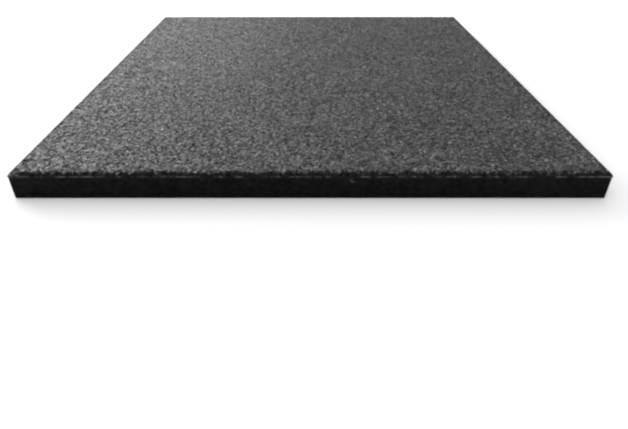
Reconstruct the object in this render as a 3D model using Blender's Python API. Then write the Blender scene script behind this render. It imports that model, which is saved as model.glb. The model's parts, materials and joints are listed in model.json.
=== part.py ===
"""A square mat of pressed rubber crumb, moulded as one solid slab.

It lies flat on z = 0 with its tread face up, and the origin is in the middle of its underside.
The upright corners are slightly rounded and a 45 degree chamfer runs round the tread face.
"""

import bmesh
import bpy

# Driving dimensions, in metres
SIDE = 0.500
THICKNESS = 0.025
CHAMFER = 0.003
CORNER_RADIUS = 0.0025
CORNER_SEGMENTS = 4

# Black recycled rubber, matt
RUBBER_COLOUR = (0.045, 0.045, 0.046, 1.0)
RUBBER_ROUGHNESS = 0.85

TOUCHING = 0.00001


def clear_scene():
    for obj in list(bpy.data.objects):
        bpy.data.objects.remove(obj, do_unlink=True)


def rubber():
    material = bpy.data.materials.new("crumb_rubber")
    material.use_nodes = True
    shader = material.node_tree.nodes["Principled BSDF"]
    shader.inputs["Base Color"].default_value = RUBBER_COLOUR
    shader.inputs["Roughness"].default_value = RUBBER_ROUGHNESS
    shader.inputs["Metallic"].default_value = 0.0
    return material


def is_upright(edge):
    """An edge that runs from the underside to the tread face."""
    low, high = sorted(vert.co.z for vert in edge.verts)
    return low < TOUCHING and high > THICKNESS - TOUCHING


def is_tread_rim(edge):
    """An edge where the tread face meets a side wall or a rounded corner."""
    return len(edge.link_faces) == 2 and all(vert.co.z > THICKNESS - TOUCHING for vert in edge.verts)


def make_mat(collection):
    """The slab as pressed: a box whose upright corners are rounded, then chamfered round the top."""
    bpy.ops.mesh.primitive_cube_add(size=1.0, location=(0.0, 0.0, THICKNESS / 2))
    mat = bpy.context.active_object
    mat.name = "mat"
    mat.data.name = "mat"
    mat.scale = (SIDE, SIDE, THICKNESS)
    bpy.ops.object.transform_apply(location=True, rotation=True, scale=True)

    shape = bmesh.new()
    shape.from_mesh(mat.data)
    bmesh.ops.bevel(
        shape,
        geom=[edge for edge in shape.edges if is_upright(edge)],
        offset=CORNER_RADIUS,
        segments=CORNER_SEGMENTS,
        profile=0.5,
        affect="EDGES",
    )
    bmesh.ops.bevel(
        shape,
        geom=[edge for edge in shape.edges if is_tread_rim(edge)],
        offset=CHAMFER,
        segments=1,
        profile=0.5,
        affect="EDGES",
    )
    bmesh.ops.recalc_face_normals(shape, faces=shape.faces)
    shape.to_mesh(mat.data)
    shape.free()

    mat.data.materials.append(rubber())
    for owner in list(mat.users_collection):
        owner.objects.unlink(mat)
    collection.objects.link(mat)
    return mat


def main():
    clear_scene()
    collection = bpy.data.collections.new("rubber_mat")
    bpy.context.scene.collection.children.link(collection)
    make_mat(collection)


main()
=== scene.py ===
# Rubber floor mat: a pressed slab of black crumb with an open, granular tread face, a chamfered rim that
# keeps a thin broken mould flash at its foot, and dense moulded side walls.
import json
import math

import bpy
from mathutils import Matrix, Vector

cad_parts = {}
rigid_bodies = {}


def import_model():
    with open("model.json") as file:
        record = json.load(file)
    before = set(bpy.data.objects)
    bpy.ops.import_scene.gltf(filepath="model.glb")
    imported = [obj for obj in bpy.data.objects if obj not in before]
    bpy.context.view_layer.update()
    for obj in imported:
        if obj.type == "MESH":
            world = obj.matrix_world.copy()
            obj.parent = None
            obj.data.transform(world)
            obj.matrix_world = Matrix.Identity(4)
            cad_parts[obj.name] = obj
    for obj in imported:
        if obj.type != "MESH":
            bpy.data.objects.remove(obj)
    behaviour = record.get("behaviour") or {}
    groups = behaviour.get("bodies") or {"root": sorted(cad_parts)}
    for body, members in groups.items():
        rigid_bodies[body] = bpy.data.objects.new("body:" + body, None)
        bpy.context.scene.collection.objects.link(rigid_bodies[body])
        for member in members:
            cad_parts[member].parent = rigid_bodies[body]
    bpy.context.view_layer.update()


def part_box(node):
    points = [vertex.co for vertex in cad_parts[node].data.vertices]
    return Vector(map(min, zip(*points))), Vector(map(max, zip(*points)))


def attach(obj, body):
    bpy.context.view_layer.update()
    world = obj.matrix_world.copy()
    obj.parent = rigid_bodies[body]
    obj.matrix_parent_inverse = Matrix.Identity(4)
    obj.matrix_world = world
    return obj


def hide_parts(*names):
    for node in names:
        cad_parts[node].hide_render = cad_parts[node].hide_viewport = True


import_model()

mm = 0.001
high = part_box("mat")[1]
halfSide = high.x
thickness = high.z
chamfer = 3.0 * mm
flashHeight = thickness - chamfer

# What the camera and the studio are set to
studio = {
    "cameraPlace": (-0.0009, -0.5814, 0.2380),
    "pitchDown": 29.92,                # degrees below the horizon
    "lens": 27.57,                     # mm, on a 36 mm sensor
    "shift": (0.0080, -0.1027),
    "pixelFilter": 2.4,                # how soft the picture is, in pixels
    "floorSize": 60.0,
    "floorColour": (0.99, 0.99, 0.99, 1.0),
    "skyColour": (1.0, 1.0, 1.0, 1.0),
    "skyStrength": 1.0,
    "softboxFar": 1.7,                 # metres from the mat
    # each softbox: degrees left of straight behind the mat and above the floor, width and height, watts
    "softboxes": {
        "softbox_left": (55.0, 20.0, 1.2, 0.8, 21.6),
        "softbox_back_left": (26.0, 18.0, 1.1, 0.7, 12.8),
        "softbox_back": (0.0, 30.0, 0.8, 0.6, 1.4),
    },
}


class Wire:
    # One output socket of a node tree. Sums on it add Math nodes, and add() brings in any other node.
    def __init__(self, tree, socket=None):
        self.tree = tree
        self.socket = socket

    def add(self, kind, settings=None, sockets=None, output=0):
        # settings are the node's own properties, sockets its inputs by name or number: values or wires
        node = self.tree.nodes.new(kind)
        for name, value in (settings or {}).items():
            setattr(node, name, value)
        for name, value in (sockets or {}).items():
            if isinstance(value, Wire):
                value.into(node.inputs[name])
            else:
                node.inputs[name].default_value = value
        return Wire(self.tree, node.outputs[output] if node.outputs else None)

    def other(self, output):
        # another output of the same node
        return Wire(self.tree, self.socket.node.outputs[output])

    def into(self, socket):
        self.tree.links.new(self.socket, socket)

    def sums(self, operation, first, second=0.0):
        return self.add("ShaderNodeMath", {"operation": operation}, {0: first, 1: second})

    def __add__(self, other):
        return self.sums("ADD", self, other)

    def __radd__(self, other):
        return self.sums("ADD", other, self)

    def __sub__(self, other):
        return self.sums("SUBTRACT", self, other)

    def __rsub__(self, other):
        return self.sums("SUBTRACT", other, self)

    def __mul__(self, other):
        return self.sums("MULTIPLY", self, other)

    def __rmul__(self, other):
        return self.sums("MULTIPLY", other, self)

    def __truediv__(self, other):
        return self.sums("DIVIDE", self, other)

    def __pow__(self, other):
        return self.sums("POWER", self, other)

    def __mod__(self, other):
        return self.sums("MODULO", self, other)

    def __gt__(self, other):
        return self.sums("GREATER_THAN", self, other)

    def __lt__(self, other):
        return self.sums("LESS_THAN", self, other)

    def __neg__(self):
        return self.sums("MULTIPLY", self, -1.0)

    def __abs__(self):
        return self.sums("ABSOLUTE", self)


def smallest(first, second):
    return first.sums("MINIMUM", first, second)


def largest(first, second):
    return first.sums("MAXIMUM", first, second)


def between(wire, lowest, highest):
    return (wire > lowest) * (wire < highest)


def ramp(wire, start, end):
    # 0 up to start, 1 from end on
    return smallest(largest((wire - start) / (end - start), 0.0), 1.0)


def noise(nodes, place, scale, detail=2.0, roughness=0.5):
    return nodes.add("ShaderNodeTexNoise", None,
                     {"Vector": place, "Scale": scale, "Detail": detail, "Roughness": roughness}, "Fac")


def parts(nodes, vector):
    split = nodes.add("ShaderNodeSeparateXYZ", None, {"Vector": vector})
    return split, split.other("Y"), split.other("Z")


# Materials

crumbFinish = {
    "dark": (0.006, 0.006, 0.0061, 1.0),
    "light": (0.120, 0.120, 0.1215, 1.0),
    "roughness": (0.44, 0.66),
    "specular": 0.35,
    "bump": 0.50,
}

rimFinish = {
    # partly the pressed rim's own darker colour, partly painted shade: the chamfer's granules are coloured
    # far darker than the tread's so the chamfer looks shaded
    "dark": (0.001, 0.001, 0.001, 1.0),
    "light": (0.029, 0.029, 0.0294, 1.0),
    "roughness": (0.50, 0.72),
    "specular": 0.06,
    "bump": 0.50,
}

scarFinish = {
    "dark": (0.020, 0.020, 0.0202, 1.0),
    "light": (0.130, 0.130, 0.1313, 1.0),
    "roughness": (0.50, 0.70),
    "specular": 0.20,
    "bump": 0.50,
}

bedFinish = {
    "dark": (0.008, 0.008, 0.0081, 1.0),
    "light": (0.040, 0.040, 0.0405, 1.0),
    "roughness": (0.60, 0.80),
    "specular": 0.10,
    "bump": 0.25,
}

tornGrain = {
    "scale": 1600.0,                   # cycles per metre
    "detail": 4.0,
    "roughness": 0.6,
    "toneShare": 0.85,                 # what a granule's own tone and the grain on it add to its shade
    "grainShare": 0.3,
    "darker": 0.1,
    "relief": 0.2 * mm,
}

skinFinish = {
    # partly the dense moulded rubber's own colour, partly painted shade: dark and light are set well below
    # black rubber's own colour so the walls look shaded
    "dark": (0.0004, 0.0004, 0.0004, 1.0),
    "light": (0.0122, 0.0122, 0.0124, 1.0),
    "torn": (0.016, 0.016, 0.0162, 1.0),
    "roughness": (0.52, 0.70),
    "specular": 0.02,
    "mosaic": 360.0,                   # pressed granules, cells per metre
    "seamWidth": 6.0,                  # more makes the seams between them narrower
    "clouds": 45.0,                    # cycles per metre
    "cloudDetail": 3.0,
    # what each adds to the shade
    "cellShare": 0.55,
    "cloudShare": 0.36,
    "seamShare": 0.12,
    "paintedHighlightShare": 0.55,
    "paintedShadeFoot": 0.65,                  # painted shade: how light the skin is painted at the underside, against the top
    "paintedShadeTop": 21.3 * mm,
    "paintedHighlightBand": (19.9 * mm, 21.1 * mm),    # where a painted highlight makes it paler under the flash
    "bump": 0.20,
    "relief": 0.3 * mm,
}

# painted highlight: the flash's light colour is painted on in broken stretches, for the light its upward
# ledge catches
flashFinish = {
    "dark": (0.002, 0.002, 0.0021, 1.0),
    "light": (0.088, 0.088, 0.089, 1.0),
    "roughness": (0.50, 0.65),
    "specular": 0.08,
    "breaks": 100.0,                   # stretches of painted highlight and dull ones, cycles per metre
    "breakDetail": 4.0,
    "breakRoughness": 0.65,
    "paintedHighlight": (0.47, 0.60),            # where in that noise a stretch starts to be painted bright, and where it is fully bright: painted highlight
    "cornerReach": 30.0 * mm,          # near the corners on the right more of it is painted bright, as painted highlight
    "cornerGain": 0.16,
}

scarBorder = {
    "inward": 2.2,                     # how much the depth inside a spot and the noise count
    "ragged": 3.0,
    "scale": 600.0,                    # of the noise, cycles per metre
    "open": (1.65, 2.65),              # where a spot starts, and where it is fully open
}

# where granules are torn out of the walls: place and reach in mm
tornSpots = (
    ((35.0, -250.0, 18.8), 1.4),
    ((34.6, -250.0, 16.4), 1.4),
    ((250.0, 96.0, 14.0), 1.9),
    ((250.0, -141.0, 8.0), 1.3),
    ((-250.0, 52.0, 16.0), 1.8),
    ((-250.0, -120.0, 11.0), 1.3),
    ((-74.0, 250.0, 15.0), 2.0),
    ((133.0, 250.0, 10.0), 1.4),
)


def newMaterial(name):
    material = bpy.data.materials.new(name)
    material.use_nodes = True
    nodes = Wire(material.node_tree)
    place = nodes.add("ShaderNodeTexCoord", output="Object")
    return material, nodes, place, material.node_tree.nodes["Principled BSDF"]


def mixed(nodes, amount, first, second):
    return nodes.add("ShaderNodeMix", {"data_type": "RGBA", "clamp_factor": False},
                     {"Factor": amount, "A": first, "B": second}, "Result")


def spread(amount, pair):
    return pair[0] + (pair[1] - pair[0]) * amount


def bumped(nodes, shader, height, strength, distance):
    nodes.add("ShaderNodeBump", None, {"Strength": strength, "Distance": distance, "Height": height},
              "Normal").into(shader.inputs["Normal"])


def scars(nodes, place):
    # 1 in a torn spot, 0 outside, with a ragged border
    nearest = None
    for spot, reach in tornSpots:
        gap = nodes.add("ShaderNodeVectorMath", {"operation": "DISTANCE"},
                        {0: place, 1: [part * mm for part in spot]}, "Value")
        depth = 1.0 - gap / (reach * mm)
        nearest = largest(nearest, depth) if nearest else depth
    ragged = noise(nodes, place, scarBorder["scale"])
    border = nearest * scarBorder["inward"] + ragged * scarBorder["ragged"]
    return ramp(border, *scarBorder["open"]) * (nearest > 0.0)


def crumbRubber(name, finish):
    # torn granules: each has its own tone, kept on its points; the tone also carries painted glints and a
    # painted highlight
    material, nodes, place, shader = newMaterial(name)
    tone = nodes.add("ShaderNodeAttribute", {"attribute_name": "tone"}, output="Fac")
    torn = noise(nodes, place, tornGrain["scale"], tornGrain["detail"], tornGrain["roughness"])
    shade = tone * tornGrain["toneShare"] + torn * tornGrain["grainShare"] - tornGrain["darker"]
    shade = largest(shade, 0.0)
    mixed(nodes, shade, finish["dark"], finish["light"]).into(shader.inputs["Base Color"])
    spread(torn, finish["roughness"]).into(shader.inputs["Roughness"])
    shader.inputs["Specular IOR Level"].default_value = finish["specular"]
    bumped(nodes, shader, torn, finish["bump"], tornGrain["relief"])
    return material


def mouldedSkin():
    # walls and underside, pressed smooth against the mould: granules show as a faint mosaic. Partly painted
    # shade: the colours are set darker than black rubber's own and darker towards the underside, with a
    # painted highlight just under the flash
    material, nodes, place, shader = newMaterial("crumb_rubber_moulded")
    cells = nodes.add("ShaderNodeTexVoronoi", {"feature": "F1"},
                      {"Vector": place, "Scale": skinFinish["mosaic"]}, "Color")
    seams = nodes.add("ShaderNodeTexVoronoi", {"feature": "DISTANCE_TO_EDGE"},
                      {"Vector": place, "Scale": skinFinish["mosaic"]}, "Distance")
    cellTone = nodes.add("ShaderNodeSeparateColor", None, {"Color": cells}, "Red")
    cloud = noise(nodes, place, skinFinish["clouds"], skinFinish["cloudDetail"])
    pressed = smallest(seams * skinFinish["seamWidth"], 1.0)
    height = parts(nodes, place)[2]
    # painted shade: the skin is painted darker towards the underside
    lowest = skinFinish["paintedShadeFoot"]
    shade = lowest + (1.0 - lowest) * smallest(height / skinFinish["paintedShadeTop"], 1.0)
    # painted highlight: the band just under the flash is painted paler
    mottle = (cellTone * skinFinish["cellShare"] + cloud * skinFinish["cloudShare"]
              + pressed * skinFinish["seamShare"]
              + ramp(height, *skinFinish["paintedHighlightBand"]) * skinFinish["paintedHighlightShare"])
    closed = mixed(nodes, mottle * shade, skinFinish["dark"], skinFinish["light"])
    mixed(nodes, scars(nodes, place), closed, skinFinish["torn"]).into(shader.inputs["Base Color"])
    spread(cellTone, skinFinish["roughness"]).into(shader.inputs["Roughness"])
    shader.inputs["Specular IOR Level"].default_value = skinFinish["specular"]
    bumped(nodes, shader, pressed + cloud, skinFinish["bump"], skinFinish["relief"])
    return material


def flashRubber():
    # the thin lip squeezed out at the mould's parting line, painted bright in stretches: painted highlight
    # for the light the lip catches
    material, nodes, place, shader = newMaterial("crumb_rubber_flash")
    across, along = parts(nodes, place)[:2]
    corner = ramp(smallest(across, abs(along)), halfSide - flashFinish["cornerReach"], halfSide)
    breaks = noise(nodes, place, flashFinish["breaks"], flashFinish["breakDetail"],
                   flashFinish["breakRoughness"])
    paintedHighlight = ramp(breaks + corner * flashFinish["cornerGain"], *flashFinish["paintedHighlight"])
    mixed(nodes, paintedHighlight, flashFinish["dark"], flashFinish["light"]).into(shader.inputs["Base Color"])
    spread(paintedHighlight, flashFinish["roughness"]).into(shader.inputs["Roughness"])
    shader.inputs["Specular IOR Level"].default_value = flashFinish["specular"]
    return material


def plainPale():
    material, nodes, place, shader = newMaterial("pale_floor")
    shader.inputs["Base Color"].default_value = studio["floorColour"]
    shader.inputs["Roughness"].default_value = 1.0
    shader.inputs["Specular IOR Level"].default_value = 0.0
    return material


# Small helpers for modelling

def nothingSelected():
    bpy.ops.object.select_all(action="DESELECT")


def pickEdges(piece, wanted):
    # in edit mode: selects the edges for which wanted(first, second) holds
    bpy.ops.mesh.select_mode(type="EDGE")
    bpy.ops.mesh.select_all(action="DESELECT")
    bpy.ops.object.mode_set(mode="OBJECT")
    corners = piece.data.vertices
    for edge in piece.data.edges:
        first, second = (corners[i].co for i in edge.vertices)
        edge.select = bool(wanted(first, second))
    bpy.ops.object.mode_set(mode="EDIT")


def pickFaces(piece, wanted):
    # in edit mode: selects the faces for which wanted(centre, normal) holds
    bpy.ops.mesh.select_mode(type="FACE")
    bpy.ops.mesh.select_all(action="DESELECT")
    bpy.ops.object.mode_set(mode="OBJECT")
    for face in piece.data.polygons:
        face.select = bool(wanted(face.center, face.normal))
    bpy.ops.object.mode_set(mode="EDIT")


def extrudeRing(reach, newReach, rise):
    # extrudes what is selected upwards, and then draws it in or out to newReach from the middle
    bpy.ops.mesh.extrude_region_move(TRANSFORM_OT_translate={"value": (0, 0, rise)})
    bpy.ops.transform.resize(value=(newReach / reach, newReach / reach, 1))


def newPlane(name, reach, height):
    # a level square face, 2 * reach wide
    nothingSelected()
    bpy.ops.mesh.primitive_plane_add(size=2 * reach, calc_uvs=False, location=(0, 0, height))
    piece = bpy.context.active_object
    piece.name = name
    bpy.ops.object.transform_apply(location=True, rotation=False, scale=False)
    return piece


def modifierTree(name):
    tree = bpy.data.node_groups.new(name, "GeometryNodeTree")
    for way in ("INPUT", "OUTPUT"):
        tree.interface.new_socket("Geometry", in_out=way, socket_type="NodeSocketGeometry")
    nodes = Wire(tree)
    return nodes, nodes.add("NodeGroupInput")


def applyTree(piece, nodes, result):
    nodes.add("NodeGroupOutput", None, {0: result})
    modifier = piece.modifiers.new(nodes.tree.name, "NODES")
    modifier.node_group = nodes.tree
    bpy.context.view_layer.objects.active = piece
    bpy.ops.object.modifier_apply(modifier=modifier.name)


# The slab: underside, moulded walls, flash and chamfer, with a sunk bed for the granules

slab = {
    "cornerRadius": 2.5 * mm,
    "cornerSteps": 4,
    "undersideInset": 0.6 * mm,
    # how far each ring lies inside the side face, and its height, in mm from the underside up
    "rings": (
        (0.12, 0.5),
        (0.12, 21.1),
        (0.00, 21.3),
        (0.00, 21.95),
        (0.55, 22.00),
        (1.15, 22.35),
        (2.70, 23.90),
    ),
    "flashFaces": (21.35 * mm, 22.0 * mm),
    "bedFaces": 22.1 * mm,             # and above
    "lengthCuts": (24, 19),            # a wall into 20 mm lengths, then into 1 mm steps
    "lengths": (15 * mm, 21 * mm),     # the first cuts' lengths are between these
    "uprightCuts": 20,
    "undulation": 0.12 * mm,
    "edgeWear": 1.35 * mm,
    "flashWear": 1.0 * mm,
    "scarDepth": 1.0 * mm,
    "broadWear": 60.0,                 # cycles per metre
    "fineWear": 230.0,
    # heights between which each wear acts, in mm from the underside
    "wallBand": (0.6, 21.0),
    "lowEdgeBand": (0.2, 0.6),
    "flashBand": (21.25, 21.97),
    "flashTopBand": (21.98, 22.1),
}


def wearSlab(piece):
    # walls are never quite flat, granules are torn out, and the lower edge and the flash are worn back
    nodes, start = modifierTree("wear")
    place = nodes.add("GeometryNodeInputPosition")
    height = parts(nodes, place)[2]
    broad = noise(nodes, place, slab["broadWear"], 3.0)
    fine = noise(nodes, place, slab["fineWear"], 3.0, 0.6)

    def within(band):
        return between(height, slab[band][0] * mm, slab[band][1] * mm)

    depth = (within("wallBand") * broad * slab["undulation"]
             + scars(nodes, place) * slab["scarDepth"]
             + within("lowEdgeBand") * largest(fine - 0.4, 0.0) * slab["edgeWear"]
             + within("flashBand") * largest(fine - 0.5, 0.0) * slab["flashWear"]
             + within("flashTopBand") * (fine - 0.5) * slab["flashWear"])
    outX, outY = parts(nodes, nodes.add("GeometryNodeInputNormal"))[:2]
    inward = nodes.add("ShaderNodeCombineXYZ", None, {"X": -outX * depth, "Y": -outY * depth})
    worn = nodes.add("GeometryNodeSetPosition", None, {"Geometry": start, "Offset": inward})
    applyTree(piece, nodes, worn)


def makeSlab(materials):
    reach = halfSide - slab["undersideInset"]
    piece = newPlane("mat_body", reach, 0.0)
    for material in materials:
        piece.data.materials.append(material)
    bpy.ops.object.mode_set(mode="EDIT")
    bpy.ops.mesh.bevel(offset=slab["cornerRadius"], segments=slab["cornerSteps"], affect="VERTICES")
    bpy.ops.mesh.select_all(action="SELECT")
    bpy.ops.mesh.select_mode(type="FACE")
    height = 0.0
    for ringInset, ringHeight in slab["rings"]:
        newReach = halfSide - ringInset * mm
        extrudeRing(reach, newReach, ringHeight * mm - height)
        height, reach = ringHeight * mm, newReach
    bpy.ops.mesh.select_all(action="SELECT")
    bpy.ops.mesh.normals_make_consistent(inside=False)

    # walls cut fine enough to wear
    longCuts, shortCuts = slab["lengthCuts"]
    shortest, longest = slab["lengths"]
    pickEdges(piece, lambda first, second: (first - second).length > halfSide)
    bpy.ops.mesh.subdivide(number_cuts=longCuts)
    pickEdges(piece, lambda first, second:
              shortest < (first - second).length < longest and abs(first.z - second.z) < mm)
    bpy.ops.mesh.subdivide(number_cuts=shortCuts)
    pickEdges(piece, lambda first, second: abs(first.z - second.z) > thickness / 2)
    bpy.ops.mesh.subdivide(number_cuts=slab["uprightCuts"])

    pickFaces(piece, lambda centre, normal: centre.z > slab["bedFaces"])
    piece.active_material_index = 1
    bpy.ops.object.material_slot_assign()
    lowest, highest = slab["flashFaces"]
    pickFaces(piece, lambda centre, normal: lowest < centre.z < highest)
    piece.active_material_index = 2
    bpy.ops.object.material_slot_assign()
    bpy.ops.object.mode_set(mode="OBJECT")
    wearSlab(piece)
    print("slab", len(piece.data.polygons), "faces")
    return piece


# The granules: a handful of angular chips, strewn over the tread, the chamfer and the torn spots, and
# pressed level

crumb = {
    # each grade is a piece, with the size of its granules
    "grades": {"crumb_coarse": 0.94, "crumb_medium": 0.80, "crumb_fine": 0.68, "crumb_mixed": 0.84},
    "treadInset": 0.2 * mm,            # how far inside the chamfer the tread's own granules stop
    "rimSize": 0.74,
    "rimInset": 0.5 * mm,              # how far inside the side face the rim's granules start
    "scarSize": 0.55,
    "scarInset": 0.05 * mm,            # how deep the patches in the torn spots lie
    "spacing": 1.60 * mm,
    "densest": 2500000.0,              # a square metre, so that the spacing alone decides
    "stretch": (0.82, 1.22),
    "lean": 45.0,                      # most that a granule may tip, in degrees; few tip far
    "sink": (-0.80 * mm, 0.12 * mm),   # how its face lies to the tread before pressing
    "press": 0.12 * mm,                # how unevenly the press leaves the highest faces
    "rimPress": 1.4,                   # how much more so on the chamfer
    "missing": 0.012,                  # share of granules torn out
    "toneSpread": 1.0,
    "brightest": 2.2,
    "paintedGlints": (0.060, 0.5),            # share of granules painted lighter as painted glints, and how much lighter
    "paintedSparks": (0.010, 0.9),            # the brightest painted glints
    "clouds": (24.0, 0.3),             # wide patches of lighter granules, cycles per metre and strength
    "clusters": (130.0, 0.9),          # and small ones
    # the chamfer of the front left corner is painted pale, a painted highlight: reach and strength
    "paintedCornerHighlight": (12.0 * mm, 9.0),
    "treadMargin": 0.1 * mm,           # what lies this far under the tread face is the chamfer's
    "cellsAcross": 128,                # bake map: one square cell for each granule
    "cellWidth": 5.6 * mm,
}

granuleShapes = (
    # corners, foot radius, face radius, height, all in mm; then the face's stretch and side step
    (4, 2.25, 1.95, 1.9, (1.25, 0.80), (0.20, -0.10)),
    (4, 2.20, 1.85, 1.8, (1.10, 0.90), (-0.15, 0.15)),
    (3, 2.50, 2.10, 1.7, (0.95, 1.10), (-0.20, 0.20)),
    (5, 2.20, 1.85, 1.9, (0.85, 1.20), (0.10, 0.25)),
    (4, 2.25, 1.80, 1.8, (1.05, 0.90), (0.15, 0.10)),
)


def makeGranules(name, material):
    granules = bpy.data.collections.new(name)
    for number, (corners, foot, face, height, stretch, step) in enumerate(granuleShapes):
        nothingSelected()
        bpy.ops.mesh.primitive_cone_add(vertices=corners, radius1=foot * mm, radius2=face * mm,
                                        depth=height * mm, calc_uvs=False,
                                        location=(0, 0, -height * mm / 2))
        granule = bpy.context.active_object
        granule.name = name + str(number)
        bpy.ops.object.transform_apply(location=True, rotation=False, scale=False)
        bpy.ops.object.mode_set(mode="EDIT")
        pickFaces(granule, lambda centre, normal: normal.z > 0.9)
        bpy.ops.transform.resize(value=(stretch[0], stretch[1], 1))
        bpy.ops.transform.translate(value=(step[0] * mm, step[1] * mm, 0))
        bpy.ops.object.mode_set(mode="OBJECT")
        granule.data.materials.append(material)
        for owner in list(granule.users_collection):
            owner.objects.unlink(granule)
        granules.objects.link(granule)
    return granules


def putAway(granules):
    for granule in list(granules.objects):
        bpy.data.objects.remove(granule)
    bpy.data.collections.remove(granules)


def strew(piece, granules, size, seed, share=0, shares=1):
    # puts chips on the faces of the piece, keeps this grade's share, and presses them to the mat's outline
    nodes, start = modifierTree("strew_" + piece.name)

    def randomFloat(lowest, highest, number):
        return nodes.add("FunctionNodeRandomValue", {"data_type": "FLOAT"},
                         {"Min": lowest, "Max": highest, "Seed": number}, 1)

    def randomWhole(highest, number):
        return nodes.add("FunctionNodeRandomValue", {"data_type": "INT"},
                         {"Min": 0, "Max": highest, "Seed": number}, 2)

    def keep(geometry, name, value, kind="FLOAT", domain="POINT"):
        return nodes.add("GeometryNodeStoreNamedAttribute", {"data_type": kind, "domain": domain},
                         {"Geometry": geometry, "Name": name, "Value": value})

    def kept(name, kind="FLOAT"):
        return nodes.add("GeometryNodeInputNamedAttribute", {"data_type": kind}, {"Name": name})

    def vectorMath(operation, sockets):
        return nodes.add("ShaderNodeVectorMath", {"operation": operation}, sockets)

    position = nodes.add("GeometryNodeInputPosition")
    scattered = nodes.add("GeometryNodeDistributePointsOnFaces", {"distribute_method": "POISSON"},
                          {"Mesh": start, "Distance Min": crumb["spacing"], "Density Max": crumb["densest"],
                           "Seed": seed}, "Points")
    points = keep(scattered, "upright", scattered.other("Rotation"), "QUATERNION")
    points = keep(points, "outward", scattered.other("Normal"), "FLOAT_VECTOR")
    grade = randomWhole(shares - 1, 5)
    away = largest(largest(grade > share + 0.5, grade < share - 0.5),
                   randomFloat(0.0, 1.0, 6) < crumb["missing"])
    points = nodes.add("GeometryNodeDeleteGeometry", {"domain": "POINT"},
                       {"Geometry": points, "Selection": away})
    points = keep(points, "centre", position, "FLOAT_VECTOR")
    points = keep(points, "cell", nodes.add("GeometryNodeInputIndex"))
    points = keep(points, "press", randomFloat(0.0, crumb["press"], 20))

    # each granule's own tone, to which painted glints and the corner's painted highlight are added below
    tone = (randomFloat(0.0, 1.0, 21) ** 2.0) * crumb["toneSpread"]
    for scale, strength in (crumb["clusters"], crumb["clouds"]):
        tone = tone + (noise(nodes, position, scale) - 0.5) * strength
    # painted glints: a few granules are painted much lighter, standing in for highlights on their faces
    chance = randomFloat(0.0, 1.0, 26)
    for part, lighter in (crumb["paintedGlints"], crumb["paintedSparks"]):
        tone = tone + (chance < part) * lighter
    # painted highlight: granules on the front left corner's chamfer are painted paler
    reach, paler = crumb["paintedCornerHighlight"]
    placeX, placeY, placeZ = parts(nodes, position)
    belowTread = placeZ < thickness - crumb["treadMargin"]
    paintedHighlight = ramp(smallest(-placeX, -placeY), halfSide - reach, halfSide) * belowTread
    tone = largest(smallest(tone, crumb["brightest"]), 0.0) + paintedHighlight * paler
    points = keep(points, "tone", tone)

    # sunk, tipped and turned
    sunk = vectorMath("SCALE", {0: kept("outward", "FLOAT_VECTOR"),
                                "Scale": randomFloat(*crumb["sink"], 22)})
    points = nodes.add("GeometryNodeSetPosition", None, {"Geometry": points, "Offset": sunk})
    lean = math.radians(crumb["lean"])
    tipX, tipY = [(randomFloat(-1.0, 1.0, number) ** 3.0) * lean for number in (23, 27)]
    tip = nodes.add("ShaderNodeCombineXYZ", None,
                    {"X": tipX, "Y": tipY, "Z": randomFloat(0.0, 2 * math.pi, 28)})
    turn = nodes.add("FunctionNodeRotateRotation", {"rotation_space": "LOCAL"},
                     {"Rotation": kept("upright", "QUATERNION"), "Rotate By": tip})
    lowest, highest = (stretch * size for stretch in crumb["stretch"])
    scale = nodes.add("ShaderNodeCombineXYZ", None,
                      {"X": randomFloat(lowest, highest, 24),
                       "Y": randomFloat(lowest, highest, 29), "Z": 1.0})
    shapes = nodes.add("GeometryNodeCollectionInfo", None,
                       {"Collection": granules, "Separate Children": True, "Reset Children": True})
    placed = nodes.add("GeometryNodeInstanceOnPoints", None,
                       {"Points": points, "Instance": shapes, "Pick Instance": True, "Rotation": turn,
                        "Scale": scale, "Instance Index": randomWhole(len(granuleShapes) - 1, 25)})
    solid = nodes.add("GeometryNodeRealizeInstances", None, {"Geometry": placed})

    # pressed flush: nothing stands above the tread or outside the chamfer and the walls
    across, along, up = parts(nodes, position)
    level = kept("press")
    height = smallest(up, thickness - level)
    rim = smallest(halfSide + flashHeight - height - level * crumb["rimPress"], halfSide - level)
    pressed = nodes.add("ShaderNodeCombineXYZ", None,
                        {"X": largest(smallest(across, rim), -rim),
                         "Y": largest(smallest(along, rim), -rim), "Z": height})
    solid = nodes.add("GeometryNodeSetPosition", None, {"Geometry": solid, "Position": pressed})

    # bake map: each chip has a square cell of its own, seen from above
    cells, width = crumb["cellsAcross"], crumb["cellWidth"]
    local = vectorMath("SUBTRACT", {0: position, 1: kept("centre", "FLOAT_VECTOR")})
    localX, localY = parts(nodes, local)[:2]
    cell = kept("cell")
    row = nodes.sums("FLOOR", cell / cells)
    unfolded = nodes.add("ShaderNodeCombineXYZ", None,
                         {"X": (cell % cells + 0.5 + localX / width) / cells,
                          "Y": (row + 0.5 + localY / width) / cells})
    solid = keep(solid, "OFBake", unfolded, "FLOAT2", "CORNER")
    for spare in ("centre", "cell", "press", "upright", "outward"):
        solid = nodes.add("GeometryNodeRemoveAttribute", None, {"Geometry": solid, "Name": spare})
    applyTree(piece, nodes, solid)
    print(piece.name, len(piece.data.polygons), "faces")


def makeCrumb(granules):
    pieces = []
    for share, (name, size) in enumerate(crumb["grades"].items()):
        piece = newPlane(name, halfSide - chamfer - crumb["treadInset"], thickness)
        strew(piece, granules, size, 11, share, len(crumb["grades"]))
        pieces.append(piece)
    return pieces


def joinAll(name):
    # makes one piece of all whose names start like this, with their places in its mesh
    for piece in bpy.context.scene.objects:
        piece.select_set(piece.name.startswith(name))
    bpy.ops.object.join()
    piece = bpy.context.active_object
    piece.name = name
    bpy.ops.object.transform_apply(location=True, rotation=True, scale=True)
    return piece


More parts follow.
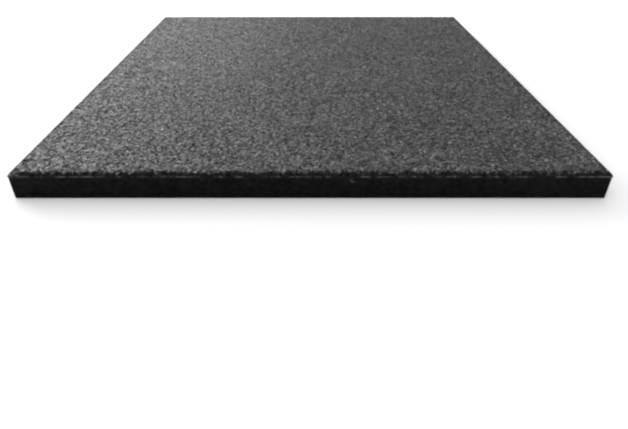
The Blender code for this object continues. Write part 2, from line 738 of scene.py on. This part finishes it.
def makeRimCrumb(granules):
    # four strips that slope at 45 degrees, where the chamfer is and just over the tread's border
    nothingSelected()
    reach = halfSide - crumb["rimInset"] - chamfer / 2
    height = flashHeight + crumb["rimInset"] + chamfer / 2
    for side in range(4):
        turn = side * math.pi / 2
        bpy.ops.mesh.primitive_plane_add(size=1, calc_uvs=False, rotation=(0, math.pi / 4, turn),
                                         location=(reach * math.cos(turn), reach * math.sin(turn), height))
        strip = bpy.context.active_object
        strip.name = "crumb_rim"
        strip.scale = (chamfer * math.sqrt(2), 2 * reach + chamfer / 2, 1)
    piece = joinAll("crumb_rim")
    strew(piece, granules, crumb["rimSize"], 12)
    return piece


def makeScarCrumb(granules):
    # a small patch of open crumb in each torn spot of the walls
    nothingSelected()
    for (x, y, z), reach in tornSpots:
        outward = Vector((x, 0, 0)) if abs(x) > abs(y) else Vector((0, y, 0))
        outward.normalize()
        middle = Vector((x, y, z)) * mm - outward * crumb["scarInset"]
        bpy.ops.mesh.primitive_circle_add(vertices=8, radius=reach * mm, fill_type="NGON",
                                          calc_uvs=False, location=middle,
                                          rotation=outward.to_track_quat("Z", "Y").to_euler())
        bpy.context.active_object.name = "crumb_scar"
    piece = joinAll("crumb_scar")
    strew(piece, granules, crumb["scarSize"], 13)
    return piece


# Camera, floor and light

def makeCamera():
    camera = bpy.data.objects.new("camera", bpy.data.cameras.new("camera"))
    bpy.context.scene.collection.objects.link(camera)
    camera.location = studio["cameraPlace"]
    camera.rotation_euler = (math.radians(90 - studio["pitchDown"]), 0, 0)
    camera.data.sensor_width = 36
    camera.data.lens = studio["lens"]
    camera.data.shift_x, camera.data.shift_y = studio["shift"]
    bpy.context.scene.camera = camera
    bpy.context.scene.cycles.filter_width = studio["pixelFilter"]


def makeStudio():
    floor = newPlane("floor", studio["floorSize"] / 2, 0.0)
    floor.data.materials.append(plainPale())

    world = bpy.data.worlds.new("studio")
    bpy.context.scene.world = world
    world.use_nodes = True
    sky = world.node_tree.nodes["Background"]
    sky.inputs["Color"].default_value = studio["skyColour"]
    sky.inputs["Strength"].default_value = studio["skyStrength"]

    for name, (turn, rise, width, height, watts) in studio["softboxes"].items():
        lamp = bpy.data.objects.new(name, bpy.data.lights.new(name, "AREA"))
        bpy.context.scene.collection.objects.link(lamp)
        lamp.data.shape = "RECTANGLE"
        lamp.data.size, lamp.data.size_y = width, height
        lamp.data.energy = watts
        turn, rise = math.radians(turn), math.radians(rise)
        lamp.location = studio["softboxFar"] * Vector((-math.sin(turn) * math.cos(rise),
                                                       math.cos(turn) * math.cos(rise), math.sin(rise)))
        lamp.rotation_euler = lamp.location.to_track_quat("Z", "Y").to_euler()
        lamp.visible_camera = False
    view = bpy.context.scene.view_settings
    view.view_transform = "Standard"
    view.look = "None"


makeCamera()
makeStudio()
print("camera and studio ready")

skin = mouldedSkin()
bedCrumb = crumbRubber("crumb_rubber_bed", bedFinish)
body = makeSlab((skin, bedCrumb, flashRubber()))
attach(body, "root")
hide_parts("mat")

treadGranules = makeGranules("granule", crumbRubber("crumb_rubber_torn", crumbFinish))
rimGranules = makeGranules("rim_granule", crumbRubber("crumb_rubber_rim", rimFinish))
scarGranules = makeGranules("scar_granule", crumbRubber("crumb_rubber_scar", scarFinish))
for piece in makeCrumb(treadGranules) + [makeRimCrumb(rimGranules), makeScarCrumb(scarGranules)]:
    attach(piece, "root")
for granules in (treadGranules, rimGranules, scarGranules):
    putAway(granules)
print("granules strewn and pressed")
